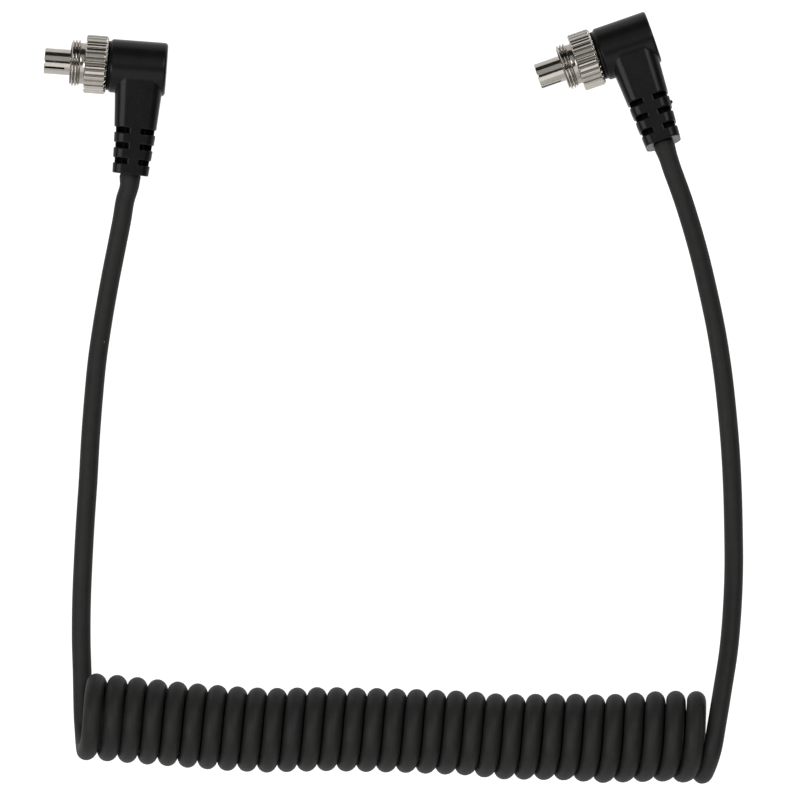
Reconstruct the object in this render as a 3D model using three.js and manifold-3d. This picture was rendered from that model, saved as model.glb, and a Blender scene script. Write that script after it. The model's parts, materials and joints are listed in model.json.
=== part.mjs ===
// Coiled flash sync cord: one round cord, wound into a spring between two straight leads, with
// a right-angle coaxial plug moulded on each end. Each plug has a slit contact sleeve and a
// knurled lock ring that turns freely on it.
//
// Millimetres, +Z up. The cord lies on the plane z = 0, and the origin is on that plane, midway
// between the two plugs. Each plug is built in a frame of its own: the mating axis lies along X
// with the mouth towards -X, the neck runs down -Y to the cord, and the two axes cross at 0.

import * as THREE from "three";
import { mergeVertices } from "three/addons/utils/BufferGeometryUtils.js";
import Module from "manifold-3d";

const wasm = await Module();
wasm.setup();
const { degToRad } = THREE.MathUtils;

// ---- driving dimensions: contacts ----
const SLEEVE_DIA = 3.5;
const SLEEVE_WALL = 0.3;
const SLEEVE_REACH = 3.65; // how far it stands out of the lock ring
const SLIT_WIDTH = 0.25;
const SLIT_LENGTH = 2.9;
const STOP_LENGTH = 0.6; // of the collar that keeps the ring on
const TAIL_STEP = 0.2; // from that collar in to the sleeve's rear half
const ANCHOR_LENGTH = 1.0; // of the collar that the inner mould grips
const ANCHOR_COVER = 0.45; // inner mould round that collar
const PIN_DIA = 1.1;
const PIN_CHAMFER = 0.275; // round the pin's tip
const PIN_RECESS = 0.9; // behind the sleeve's mouth
const PIN_CUP_DIA = 1.5;
const PIN_CUP_LENGTH = 1.5;
const INSULATOR_RECESS = 3.2;
const INSULATOR_HEAD_DIA = 3.6;
const INSULATOR_HEAD_LENGTH = 0.8;

// ---- driving dimensions: lock ring ----
const THREAD_DIA = 6.0;
const THREAD_PITCH = 0.5;
const THREAD_CRESTS = 3;
const THREAD_DEPTH = 0.3;
const THREAD_CREST = 0.2; // the crest's share of a pitch
const THREAD_FLANK = 0.4; // the front flank's share
const THREAD_REAR_FLANK = 0.38;
const THREAD_LEAD_IN = 0.2; // chamfer on the ring's nose
const UNDERCUT_LENGTH = 0.7;
const KNURL_DIA = 8.0;
const KNURL_LENGTH = 3.0;
const KNURL_TEETH = 30;
const KNURL_DEPTH = 0.3;
const KNURL_TOP = 0.55; // the flat's share of a tooth's pitch
const KNURL_CHAMFER = 0.3;
const RING_LIP = 0.55; // the wall in front of the stop collar
const RING_WALL = 0.4; // round the stop collar, under the thread's root

// ---- driving dimensions: elbow moulding ----
const BARREL_DIA = 7.5;
const BARREL_LENGTH = 8.0;
const BARREL_CHAMFER = 0.28;
const BARREL_ROUNDING = 0.45;
const NECK_LENGTH = 15.0; // from the mating axis to the cord
const NECK_INSET = { width: 0.5, depth: 0.2 }; // inside the barrel's ends and its round side
const NECK_END = { width: 4.9, depth: 5.0 };
const NECK_CORNER = 1.85;
const SLOT_COUNT = 3;
const SLOT_HEIGHT = 0.77;
const SLOT_PITCH = 2.16;
const END_RIB = 1.4;
const SLOT_SPINE = 1.5; // the solid stripe between the left and right slots
const SLOT_WEB = 1.0; // the solid sheet between the front and back slots
const SLOT_SIDE_STEP = 0.22; // the web's edge lies this far inside the ribs
const RELIEF_WALL = 0.35; // round the cord, behind the slots
const RELIEF_BACK = 1.3; // solid overmould between the slots and the inner mould
const MOULD_WALL = 0.9; // overmould round the inner mould

// ---- driving dimensions: cord ----
const CORD_DIA = 2.66;
const CORE_DIA = 1.0;
const SHIELD_DIA = 0.7;
const JACKET_GRIP = 0.3; // how far the jacket reaches into the inner mould
const CORE_OFFSET = 0.35; // of the core wire from the neck's axis, where it leaves the jacket
const SHIELD_OFFSET = -0.8;
const WIRE_STRAIGHT = 1.0; // before either wire bends
const COIL_DIA = 12.0;

// ---- clearances ----
const RING_GAP = 0.3; // between the ring and the elbow, and round the sleeve
const STOP_GAP = 0.15; // between the ring's lip and the stop collar
const FIT = 0.1; // round what is moulded in
const PRESS = 0.05; // between the pin, the insulator and the sleeve
const CORD_GAP = 0.3; // between one of the cord's solids and the next

// ---- how the cord lies ----
const PLUG_A = { x: -31.19, y: 3.68, turn: -4.3, roll: 0, slit: 36, knurl: 0 };
const PLUG_B = { x: 37.19, y: 6.73, turn: 19.2, roll: -8, slit: 80, knurl: 8 };
const FLOOR_CORD = CORD_DIA / 2; // the height of a cord that lies on the plane
const LEAD_A = [
  [-33, -14.86, 3.85],
  [-33.47, -17.66, 3.5],
  [-34.02, -20.46, 3.05],
  [-35.14, -26.06, 2.1],
  [-36.13, -31.66, 1.5],
  [-36.95, -37.26, FLOOR_CORD],
  [-37.49, -42.86, FLOOR_CORD],
  [-37.91, -48.46, FLOOR_CORD],
  [-38.22, -54.06, FLOOR_CORD],
  [-38.6, -59.66, FLOOR_CORD],
  [-38.91, -65.26, FLOOR_CORD],
  [-39.14, -70.86, FLOOR_CORD],
  [-39.19, -76.46, FLOOR_CORD],
  [-39.19, -81.19, FLOOR_CORD],
];
const LEAD_B = [
  [43.54, -10.49, 6.5],
  [44.64, -13.49, 6.4],
  [45.58, -16.26, 5.9],
  [47.24, -21.86, 4.4],
  [48.61, -27.46, 2.85],
  [49.8, -33.06, 1.75],
  [50.69, -38.66, FLOOR_CORD],
  [51.32, -44.26, FLOOR_CORD],
  [51.8, -49.86, FLOOR_CORD],
  [52.09, -55.46, FLOOR_CORD],
  [52.23, -61.06, 1.6],
  [52.25, -66.66, 2.6],
  [52, -72.26, 4.1],
  [51.48, -77.86, 5.9],
  [50.58, -83.46, 7.6],
  [49.79, -88.09, 8.6],
];
const COIL_AXIS = [
  [-40.52, -87.19],
  [-28.36, -87.89],
  [-19.86, -88.59],
  [5.54, -89.14],
  [21.74, -89.94],
  [33.14, -90.19],
  [48.04, -90.04],
];

// ---- facets ----
const FACETS = 28;
const SMALL_FACETS = 16;
const CORD_SIDES = 8;
const COIL_SIDES = 12;
const LEAD_STEPS = 15;
const COIL_STEPS = 16;
const WIRE_STEPS = 8;
const CORNER_STEPS = 3;
const WELD = 1e-4;
const PAST = 1; // how far a cutter runs past the face it cuts

// ---- places along the mating axis, worked out from the sizes ----
const BARREL_FRONT = -BARREL_LENGTH / 2;
const RING_BACK = BARREL_FRONT - RING_GAP;
const KNURL_FRONT = RING_BACK - KNURL_LENGTH;
const THREAD_BACK = KNURL_FRONT - UNDERCUT_LENGTH;
const RING_FRONT = THREAD_BACK - THREAD_CRESTS * THREAD_PITCH;
const MOUTH = RING_FRONT - SLEEVE_REACH;
const STOP_FRONT = RING_FRONT + RING_LIP + STOP_GAP;
const STOP_BACK = STOP_FRONT + STOP_LENGTH;
const INNER_FRONT = BARREL_FRONT + MOULD_WALL;
const INNER_BACK = BARREL_LENGTH / 2 - MOULD_WALL - BARREL_ROUNDING;
const ANCHOR_FRONT = INNER_FRONT + MOULD_WALL / 2;
const SLEEVE_BACK = ANCHOR_FRONT + ANCHOR_LENGTH;
const HEAD_FRONT = SLEEVE_BACK + PRESS;
const HEAD_BACK = HEAD_FRONT + INSULATOR_HEAD_LENGTH;
const CUP_FRONT = HEAD_BACK + PRESS;
const CUP_BACK = CUP_FRONT + PIN_CUP_LENGTH;
const CUP_MIDDLE = (CUP_FRONT + CUP_BACK) / 2;
const ANCHOR_MIDDLE = (ANCHOR_FRONT + SLEEVE_BACK) / 2;

// ---- radii, and places down the neck ----
const SLEEVE_R = SLEEVE_DIA / 2;
const SLEEVE_BORE_R = SLEEVE_R - SLEEVE_WALL;
const INSULATOR_R = SLEEVE_BORE_R - PRESS;
const THREAD_R = THREAD_DIA / 2;
const WAIST_R = THREAD_R - THREAD_DEPTH;
const STOP_BORE_R = WAIST_R - RING_WALL;
const STOP_R = STOP_BORE_R - FIT;
const TAIL_R = STOP_R - TAIL_STEP;
const KNURL_R = KNURL_DIA / 2;
const BARREL_R = BARREL_DIA / 2;
const INNER_R = BARREL_R - MOULD_WALL;
const ANCHOR_R = INNER_R - ANCHOR_COVER;
const NECK_TOP = {
  width: BARREL_LENGTH - 2 * NECK_INSET.width,
  depth: BARREL_DIA - 2 * NECK_INSET.depth,
};
const CORD_R = CORD_DIA / 2;
const COIL_R = COIL_DIA / 2;
const AXIS_HEIGHT = Math.max(KNURL_R, BARREL_R); // of each plug, over the plane
const FIRST_SLOT = -NECK_LENGTH + END_RIB + SLOT_HEIGHT / 2;
const LAST_SLOT = FIRST_SLOT + (SLOT_COUNT - 1) * SLOT_PITCH;
const INNER_END = LAST_SLOT + SLOT_HEIGHT / 2 + RELIEF_BACK;
const JACKET_END = INNER_END + JACKET_GRIP;
const WIRE_START = JACKET_END + FIT;

// ---- materials ----
const finish = (color, roughness, metalness) =>
  new THREE.MeshStandardMaterial({ color, roughness, metalness });
const NICKEL = finish(0xd8d4cc, 0.22, 1);
const GOLD_BRASS = finish(0xc9a856, 0.3, 1);
const OVERMOULD = finish(0x1c1c1b, 0.5, 0);
const INNER_MOULD = finish(0x2b2b2d, 0.6, 0);
const INSULATOR = finish(0xe9e6df, 0.55, 0);
const CORD_JACKET = finish(0x2a2a2a, 0.6, 0);
const CORE_JACKET = finish(0xb8322a, 0.5, 0);
const SHIELD_COPPER = finish(0xb8743f, 0.4, 1);

// ---- solids ----
function solid(geometry) {
  const bare = geometry.index ? geometry.toNonIndexed() : geometry.clone();
  bare.deleteAttribute("normal");
  bare.deleteAttribute("uv");
  const merged = mergeVertices(bare, WELD);
  return new wasm.Manifold(
    new wasm.Mesh({
      numProp: 3,
      vertProperties: merged.attributes.position.array,
      triVerts: new Uint32Array(merged.index.array),
    }),
  );
}

function mesh(name, body, material) {
  const made = body.getMesh();
  const geometry = new THREE.BufferGeometry();
  const positions = new Float32Array(made.numVert * 3);
  for (let i = 0; i < made.numVert; i++) {
    const start = i * made.numProp;
    positions.set(made.vertProperties.subarray(start, start + 3), i * 3);
  }
  geometry.setAttribute("position", new THREE.BufferAttribute(positions, 3));
  geometry.setIndex(new THREE.BufferAttribute(made.triVerts, 1));
  geometry.computeVertexNormals();
  const result = new THREE.Mesh(geometry, material);
  result.name = name;
  return result;
}

const join = (first, ...rest) => rest.reduce((a, b) => a.add(b), first);
const cut = (first, ...rest) => rest.reduce((a, b) => a.subtract(b), first);

// A turned form about the X axis, from pairs of place along X and radius.
function turned(profile, facets = FACETS) {
  const points = profile.map(([x, r]) => new THREE.Vector2(r, x));
  return new THREE.LatheGeometry(points, facets).rotateZ(-Math.PI / 2);
}

// A plain round rod about the X axis.
function rod(from, to, radius, facets = FACETS) {
  return turned([[from, 0], [from, radius], [to, radius], [to, 0]], facets);
}

// The same, about the Y axis of the neck: the places are along Y, top first.
function neckRod(top, bottom, radius, facets = FACETS) {
  return rod(-top, -bottom, radius, facets).rotateZ(-Math.PI / 2);
}

function box(width, height, depth, x, y, z) {
  return new THREE.BoxGeometry(width, height, depth).translate(x, y, z);
}

function roundedRectangle(width, height, radius) {
  const x = width / 2 - radius;
  const y = height / 2 - radius;
  const quarter = Math.PI / 2;
  const shape = new THREE.Shape();
  shape.absarc(x, y, radius, 0, quarter);
  shape.absarc(-x, y, radius, quarter, 2 * quarter);
  shape.absarc(-x, -y, radius, 2 * quarter, 3 * quarter);
  shape.absarc(x, -y, radius, 3 * quarter, 4 * quarter);
  return shape;
}

// The neck's outer form: a rounded rectangle that narrows from the mating axis to the cord.
// An inset one is the form of what lies inside it, and may stop before the neck's end.
function neckForm(inset, length = NECK_LENGTH) {
  const width = NECK_TOP.width - 2 * inset;
  const depth = NECK_TOP.depth - 2 * inset;
  const section = roundedRectangle(width, depth, NECK_CORNER - inset);
  const form = new THREE.ExtrudeGeometry(section, {
    depth: length,
    bevelEnabled: false,
    curveSegments: CORNER_STEPS,
  }).rotateX(Math.PI / 2);
  const at = form.attributes.position;
  for (let i = 0; i < at.count; i++) {
    const along = -at.getY(i) / NECK_LENGTH;
    const narrow = 1 + along * ((NECK_END.width - 2 * inset) / width - 1);
    const thin = 1 + along * ((NECK_END.depth - 2 * inset) / depth - 1);
    at.setX(i, at.getX(i) * narrow);
    at.setZ(i, at.getZ(i) * thin);
  }
  return form;
}

function polygon(radius, sides) {
  const shape = new THREE.Shape();
  for (let i = 0; i < sides; i++) {
    const angle = ((i + 0.5) / sides) * 2 * Math.PI;
    const point = [radius * Math.cos(angle), radius * Math.sin(angle)];
    if (i === 0) shape.moveTo(...point);
    else shape.lineTo(...point);
  }
  shape.closePath();
  return shape;
}

function tube(points, radius, sides, steps) {
  const path = new THREE.CatmullRomCurve3(
    points.map((p) => new THREE.Vector3(...p)),
    false,
    "centripetal",
  );
  return new THREE.ExtrudeGeometry(polygon(radius, sides), {
    steps,
    bevelEnabled: false,
    extrudePath: path,
  });
}

// ---- the pieces of one plug ----
// Each takes a clearance to grow by, so that what holds a piece is cut by the piece itself.
function sleeveOuter(grow = 0) {
  return solid(
    turned([
      [MOUTH - grow, 0],
      [MOUTH - grow, SLEEVE_R + grow],
      [STOP_FRONT - grow, SLEEVE_R + grow],
      [STOP_FRONT - grow, STOP_R + grow],
      [STOP_BACK + grow, STOP_R + grow],
      [STOP_BACK + grow, TAIL_R + grow],
      [ANCHOR_FRONT - grow, TAIL_R + grow],
      [ANCHOR_FRONT - grow, ANCHOR_R + grow],
      [SLEEVE_BACK + grow, ANCHOR_R + grow],
      [SLEEVE_BACK + grow, 0],
    ]),
  );
}

function contactSleeve() {
  const bore = solid(rod(MOUTH - PAST, SLEEVE_BACK + PAST, SLEEVE_BORE_R));
  const reach = SLIT_LENGTH + PAST;
  const middle = MOUTH - PAST + reach / 2;
  const slit = box(reach, SLIT_WIDTH, SLEEVE_DIA + PAST, middle, 0, 0);
  return cut(sleeveOuter(), bore, solid(slit));
}

function insulator(grow = 0) {
  const front = MOUTH + INSULATOR_RECESS;
  const profile = [
    [front, 0],
    [front, INSULATOR_R],
    [HEAD_FRONT, INSULATOR_R],
    [HEAD_FRONT, INSULATOR_HEAD_DIA / 2 + grow],
    [HEAD_BACK + grow, INSULATOR_HEAD_DIA / 2 + grow],
    [HEAD_BACK + grow, 0],
  ];
  return solid(turned(profile, SMALL_FACETS));
}

function centrePin(grow = 0) {
  const tip = MOUTH + PIN_RECESS;
  const radius = PIN_DIA / 2 + grow;
  const profile = [
    [tip, 0],
    [tip, radius - PIN_CHAMFER],
    [tip + PIN_CHAMFER, radius],
    [CUP_FRONT - grow, radius],
    [CUP_FRONT - grow, PIN_CUP_DIA / 2 + grow],
    [CUP_BACK + grow, PIN_CUP_DIA / 2 + grow],
    [CUP_BACK + grow, 0],
  ];
  return solid(turned(profile, SMALL_FACETS));
}

// The ring's outer form without its knurled teeth: lead-in, thread crests and undercut.
function ringCore() {
  const flank = THREAD_PITCH * THREAD_FLANK;
  const rearFlank = THREAD_PITCH * THREAD_REAR_FLANK;
  const flat = THREAD_PITCH * THREAD_CREST;
  const profile = [
    [RING_FRONT, 0],
    [RING_FRONT, THREAD_R - THREAD_LEAD_IN],
  ];
  for (let i = 0; i < THREAD_CRESTS; i++) {
    const crest = RING_FRONT + i * THREAD_PITCH + flank;
    profile.push([crest, THREAD_R]);
    profile.push([crest + flat, THREAD_R]);
    profile.push([crest + flat + rearFlank, WAIST_R]);
  }
  profile.push([KNURL_FRONT + PAST, WAIST_R]);
  profile.push([KNURL_FRONT + PAST, 0]);
  return solid(turned(profile));
}

function knurledShape() {
  const pitch = (2 * Math.PI) / KNURL_TEETH;
  const root = KNURL_R - KNURL_DEPTH;
  const shape = new THREE.Shape();
  for (let i = 0; i < KNURL_TEETH; i++) {
    const tooth = -Math.PI / 2 + i * pitch;
    const corners = [
      [root, tooth - pitch / 2],
      [KNURL_R, tooth - (pitch * KNURL_TOP) / 2],
      [KNURL_R, tooth + (pitch * KNURL_TOP) / 2],
    ];
    corners.forEach(([radius, angle], corner) => {
      const point = [radius * Math.cos(angle), radius * Math.sin(angle)];
      if (i === 0 && corner === 0) shape.moveTo(...point);
      else shape.lineTo(...point);
    });
  }
  shape.closePath();
  return shape;
}

// The teeth are extruded along the axis, and their two rims are chamfered by a turned form.
function knurl() {
  const teeth = new THREE.ExtrudeGeometry(knurledShape(), {
    depth: KNURL_LENGTH,
    bevelEnabled: false,
  })
    .rotateZ(Math.PI / 2)
    .rotateY(Math.PI / 2)
    .translate(KNURL_FRONT, 0, 0);
  const rim = KNURL_R - KNURL_CHAMFER;
  const outside = KNURL_R + PAST;
  const across = KNURL_CHAMFER + PAST;
  const envelope = turned([
    [KNURL_FRONT, 0],
    [KNURL_FRONT, rim],
    [KNURL_FRONT + across, outside],
    [RING_BACK - across, outside],
    [RING_BACK, rim],
    [RING_BACK, 0],
  ]);
  return solid(teeth).intersect(solid(envelope));
}

function lockRing() {
  const lipBore = rod(RING_FRONT - PAST, RING_BACK, SLEEVE_R + STOP_GAP);
  const stopBore = rod(RING_FRONT + RING_LIP, RING_BACK + PAST, STOP_BORE_R);
  return cut(join(ringCore(), knurl()), solid(lipBore), solid(stopBore));
}

function innerBlock(grow = 0) {
  const stem = neckForm(MOULD_WALL - grow, -INNER_END + grow);
  const barrel = rod(INNER_FRONT - grow, INNER_BACK + grow, INNER_R + grow);
  return join(solid(barrel), solid(stem));
}

function coreWire(grow = 0) {
  const top = -PIN_CUP_DIA / 2 - FIT + grow;
  const points = [
    [CUP_MIDDLE, top, 0],
    [CUP_MIDDLE, top - WIRE_STRAIGHT, 0],
    [CORE_OFFSET, WIRE_START + WIRE_STRAIGHT, 0],
    [CORE_OFFSET, WIRE_START - grow, 0],
  ];
  return solid(tube(points, CORE_DIA / 2 + grow, CORD_SIDES, WIRE_STEPS));
}

function shieldTail(grow = 0) {
  const top = -ANCHOR_R - FIT + grow;
  const points = [
    [ANCHOR_MIDDLE, top, 0],
    [ANCHOR_MIDDLE, top - SHIELD_DIA / 2, 0],
    [SHIELD_OFFSET, WIRE_START + WIRE_STRAIGHT, 0],
    [SHIELD_OFFSET, WIRE_START - grow, 0],
  ];
  return solid(tube(points, SHIELD_DIA / 2 + grow, CORD_SIDES, WIRE_STEPS));
}

function cordTail(grow = 0, bottom = -NECK_LENGTH) {
  return solid(neckRod(JACKET_END + grow, bottom, CORD_R + grow));
}

function innerMould() {
  return cut(
    innerBlock(),
    sleeveOuter(FIT),
    insulator(FIT),
    centrePin(FIT),
    coreWire(FIT),
    shieldTail(FIT),
    cordTail(FIT),
  );
}

function barrelForm() {
  const back = BARREL_LENGTH / 2;
  const profile = [
    [BARREL_FRONT, 0],
    [BARREL_FRONT, BARREL_R - BARREL_CHAMFER],
    [BARREL_FRONT + BARREL_CHAMFER, BARREL_R],
  ];
  for (let i = 0; i <= CORNER_STEPS; i++) {
    const angle = (i / CORNER_STEPS) * (Math.PI / 2);
    profile.push([
      back - BARREL_ROUNDING * (1 - Math.sin(angle)),
      BARREL_R - BARREL_ROUNDING * (1 - Math.cos(angle)),
    ]);
  }
  profile.push([back, 0]);
  return solid(turned(profile));
}

// The slots stop at a cross of solid material: a spine, a web and the wall round the cord.
function reliefSlots() {
  const across = BARREL_DIA + PAST;
  const spine = box(SLOT_SPINE, 2 * NECK_LENGTH, across, 0, -NECK_LENGTH, 0);
  const sheet = box(across, 2 * NECK_LENGTH, SLOT_WEB, 0, -NECK_LENGTH, 0);
  const web = solid(sheet).intersect(solid(neckForm(SLOT_SIDE_STEP)));
  const wall = neckRod(0, -NECK_LENGTH, CORD_R + FIT + RELIEF_WALL);
  const kept = join(solid(spine), web, solid(wall));
  const slots = [];
  for (let i = 0; i < SLOT_COUNT; i++) {
    const middle = FIRST_SLOT + i * SLOT_PITCH;
    slots.push(solid(box(across, SLOT_HEIGHT, across, 0, middle, 0)));
  }
  return cut(join(...slots), kept);
}

function overmould() {
  return cut(
    join(barrelForm(), solid(neckForm(0))),
    innerBlock(FIT),
    sleeveOuter(FIT),
    cordTail(FIT, -NECK_LENGTH - PAST),
    reliefSlots(),
  );
}

function plug(letter, lie) {
  const name = (piece) => `plug_${letter}_${piece}`;
  const ring = mesh(name("lock_ring"), lockRing(), NICKEL);
  ring.rotation.x = degToRad(lie.knurl);
  const sleeve = mesh(name("contact_sleeve"), contactSleeve(), NICKEL);
  sleeve.rotation.x = degToRad(lie.slit);
  const rolled = new THREE.Group();
  rolled.rotation.x = degToRad(lie.roll);
  rolled.add(
    ring,
    sleeve,
    mesh(name("insulator"), cut(insulator(), centrePin(PRESS)), INSULATOR),
    mesh(name("centre_pin"), centrePin(), GOLD_BRASS),
    mesh(name("overmould"), overmould(), OVERMOULD),
    mesh(name("inner_mould"), innerMould(), INNER_MOULD),
    mesh(name("core_wire"), coreWire(), CORE_JACKET),
    mesh(name("shield_tail"), shieldTail(), SHIELD_COPPER),
    mesh(name("cord_tail"), cordTail(), CORD_JACKET),
  );
  const placed = new THREE.Group();
  placed.position.set(lie.x, lie.y, AXIS_HEIGHT);
  placed.rotation.z = degToRad(lie.turn);
  placed.add(rolled);
  return placed;
}

// ---- the cord ----
// Two points on the line of the neck, where the cord leaves it.
function exitPoints(lie) {
  const matrix = new THREE.Matrix4()
    .makeRotationZ(degToRad(lie.turn))
    .multiply(new THREE.Matrix4().makeRotationX(degToRad(lie.roll)))
    .setPosition(lie.x, lie.y, AXIS_HEIGHT);
  const start = NECK_LENGTH + CORD_GAP;
  return [start, start + CORD_R].map((down) =>
    new THREE.Vector3(0, -down, 0).applyMatrix4(matrix).toArray(),
  );
}

// A lead follows the neck's line, then those of its points that lie clear of the neck.
function lead(name, lie, points) {
  const ends = exitPoints(lie);
  const clear = ends[1][1] - CORD_R;
  const route = [...ends, ...points.filter((point) => point[1] < clear)];
  const body = solid(tube(route, CORD_R, CORD_SIDES, LEAD_STEPS));
  return mesh(name, body, CORD_JACKET);
}

function coil() {
  const axis = COIL_AXIS.map(([x, y]) => [x, y, COIL_R]);
  return mesh("cord_coil", solid(tube(axis, COIL_R, COIL_SIDES, COIL_STEPS)), CORD_JACKET);
}

// ---- assembly, with the origin midway between the plugs ----
const plugs = new THREE.Group();
plugs.add(plug("a", PLUG_A), plug("b", PLUG_B));
plugs.updateMatrixWorld(true);
const middle = new THREE.Box3().setFromObject(plugs, true).getCenter(new THREE.Vector3());

const laid = new THREE.Group();
laid.position.set(-middle.x, -middle.y, 0);
laid.add(plugs, lead("cord_lead_a", PLUG_A, LEAD_A), lead("cord_lead_b", PLUG_B, LEAD_B), coil());

const syncCord = new THREE.Group();
syncCord.add(laid);

export default syncCord;
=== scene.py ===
"""The looks of a coiled flash sync cord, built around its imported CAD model."""

import json
import math

import bpy
import numpy as np
from mathutils import Matrix, Vector


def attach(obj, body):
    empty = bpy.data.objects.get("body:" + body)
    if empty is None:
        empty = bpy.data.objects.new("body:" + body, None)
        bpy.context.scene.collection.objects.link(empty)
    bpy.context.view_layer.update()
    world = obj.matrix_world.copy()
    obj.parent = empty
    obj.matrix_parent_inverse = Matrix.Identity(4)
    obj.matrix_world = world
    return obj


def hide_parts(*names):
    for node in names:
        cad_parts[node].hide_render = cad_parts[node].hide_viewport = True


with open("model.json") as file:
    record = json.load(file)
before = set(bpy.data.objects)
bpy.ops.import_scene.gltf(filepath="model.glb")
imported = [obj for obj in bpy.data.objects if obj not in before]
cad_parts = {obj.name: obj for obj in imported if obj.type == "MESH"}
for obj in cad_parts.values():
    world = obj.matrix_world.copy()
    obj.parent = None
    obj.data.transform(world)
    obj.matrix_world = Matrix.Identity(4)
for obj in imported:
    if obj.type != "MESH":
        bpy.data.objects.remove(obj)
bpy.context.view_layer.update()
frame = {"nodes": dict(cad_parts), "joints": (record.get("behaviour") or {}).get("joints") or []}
MM = 0.001

# ---- camera: straight down, through a long lens ----
VIEW_CENTRE = (0.00549, -0.04286, 0.005)
VIEW_WIDTH = 0.112
VIEW_DISTANCE = 3.0
SENSOR = 36

camera_data = bpy.data.cameras.new("camera")
camera_data.sensor_width = SENSOR
camera_data.lens = SENSOR * VIEW_DISTANCE / VIEW_WIDTH
camera_data.clip_end = 10
camera = bpy.data.objects.new("camera", camera_data)
camera.location = Vector(VIEW_CENTRE) + Vector((0, 0, VIEW_DISTANCE))
bpy.context.scene.collection.objects.link(camera)
bpy.context.scene.camera = camera

# ---- how each plug lies: its place and mating axis come from its lock ring's joint ----
ROLL = {"a": 0.0, "b": -8.0}  # degrees about the mating axis
SLIT = {"a": 30.5, "b": 72.0}
KNURL_TURN = {"a": 0.0, "b": 8.0}


def plug_matrix(letter, spin=0.0):
    """From a plug's own frame to the object's, both in metres. In the plug's own frame, X is the
    mating axis and the neck runs down -Y."""
    joint = next(j for j in frame["joints"] if j["name"] == f"lock_ring_{letter}_turn")
    along = -Vector(joint["axis"])
    turn = math.atan2(along.y, along.x)
    roll = math.radians(ROLL[letter] + spin)
    placed = Matrix.Translation(joint["pos_m"]) @ Matrix.Rotation(turn, 4, "Z")
    return placed @ Matrix.Rotation(roll, 4, "X")


def between(table, at, column=1):
    """A column of a table, read along straight lines between the numbers in its first column."""
    rows = np.array(table)
    return np.interp(at, rows[:, 0], rows[:, column])


# ---- sizes, in millimetres: the CAD model's, unless a comment says otherwise ----
CORD_R = 1.33
NECK_LENGTH = 15.0
CORD_INSIDE = (6.91, 11.0)  # how far down each neck the cord ends, and a second point on it
CORD_GAP = 0.3  # below the neck, before the cord is free to bend
NECK_LEAN = {  # how far each neck's middle stands back from the CAD neck's, by distance down it
    "a": [(0, 0.32), (9.5, 0.25), (15, 0.03)],
    "b": [(0, 0.42), (15, 0.38)],
}


def lean_at(letter, down):
    return between(NECK_LEAN[letter], down)


# ---- the cord's route, in metres ----
FLOOR_CORD = 0.0014  # the height of the cord's middle where it lies on the table
LEAD_A = [
    (-0.0330, -0.01486, 0.00385),
    (-0.03347, -0.01766, 0.0035),
    (-0.03402, -0.02046, 0.00305),
    (-0.03514, -0.02606, 0.0021),
    (-0.03613, -0.03166, 0.0015),
    (-0.03695, -0.03726, FLOOR_CORD),
    (-0.03749, -0.04286, FLOOR_CORD),
    (-0.03791, -0.04846, FLOOR_CORD),
    (-0.03822, -0.05406, FLOOR_CORD),
    (-0.0386, -0.05966, FLOOR_CORD),
    (-0.03891, -0.06526, FLOOR_CORD),
    (-0.03914, -0.07086, FLOOR_CORD),
    (-0.03919, -0.07646, FLOOR_CORD),
    (-0.03906, -0.08119, FLOOR_CORD),
]
LEAD_B = [
    (0.04354, -0.01049, 0.0065),
    (0.04464, -0.01349, 0.0064),
    (0.04558, -0.01626, 0.0059),
    (0.04724, -0.02186, 0.0044),
    (0.04861, -0.02746, 0.00285),
    (0.0498, -0.03306, 0.00175),
    (0.05069, -0.03866, FLOOR_CORD),
    (0.05132, -0.04426, FLOOR_CORD),
    (0.0518, -0.04986, FLOOR_CORD),
    (0.05209, -0.05546, FLOOR_CORD),
    (0.05223, -0.06106, 0.0016),
    (0.05225, -0.06666, 0.0026),
    (0.0520, -0.07226, 0.0042),
    (0.05148, -0.07786, 0.0063),
    (0.05058, -0.08346, 0.0084),
    (0.04979, -0.08809, 0.0099),
    (0.04910, -0.09186, 0.0102),
]
COIL_TURNS = 31
COIL_STEPS = 16  # points on each turn
COIL_STATIONS = [  # turns from the start, X and Y of the coil's axis, and the turn's radius
    (-1, -0.04040, -0.08707, 0.00480),
    (0, -0.03844, -0.08717, 0.00480),
    (1, -0.03549, -0.08730, 0.00482),
    (5, -0.02425, -0.08837, 0.00465),
    (7, -0.01870, -0.08881, 0.00465),
    (9, -0.01316, -0.08909, 0.00461),
    (12, -0.00483, -0.08891, 0.00459),
    (16, 0.00627, -0.08915, 0.00459),
    (19, 0.01455, -0.08948, 0.00461),
    (21, 0.02003, -0.08999, 0.00466),
    (24, 0.02835, -0.09000, 0.00478),
    (26, 0.03386, -0.09026, 0.00488),
    (29, 0.04217, -0.08989, 0.00506),
    (31, 0.04790, -0.09006, 0.00515),
]
COIL_SWAY = [  # how far the upper side of each turn bows along X
    (0, 0.00022),
    (1, 0.00018),
    (2, 0.00007),
    (4, 0.00003),
    (8, 0.00006),
    (11, 0.00014),
    (15, 0.0002),
    (18, 0.00025),
    (22, 0.00028),
    (24, 0.00038),
    (26, 0.00044),
    (28, 0.00053),
    (30, 0.00066),
]
COIL_LEAN = [(2, 0.0), (20, 0.0002), (31, 0.0005)]  # how far a turn's top leads, beyond its pitch
COIL_TUCK = [(28.8, 0.0), (30.75, 0.00042)]  # how far the underside of the last turns lags along X
COIL_SKEW = 0.6  # how much more of the sway and tuck a turn has towards its -Y edge
SWAY_POWER = 0.7  # below 1, so that a turn bows more bluntly than a sine
CURVE_STEPS = 12  # from each given point of a curve to the next, before it is cut evenly
STEP = 0.0006  # between the rings of the cord's mesh
CORD_SIDES = 20
CORD_END_SHARP = 60  # degrees
SKIRT = 0.00017  # how much thicker the jacket is where it comes out of the neck
SKIRT_FADE = 0.0011
SKIRT_REACH = 0.012  # no farther than this from the neck's mouth
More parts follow.
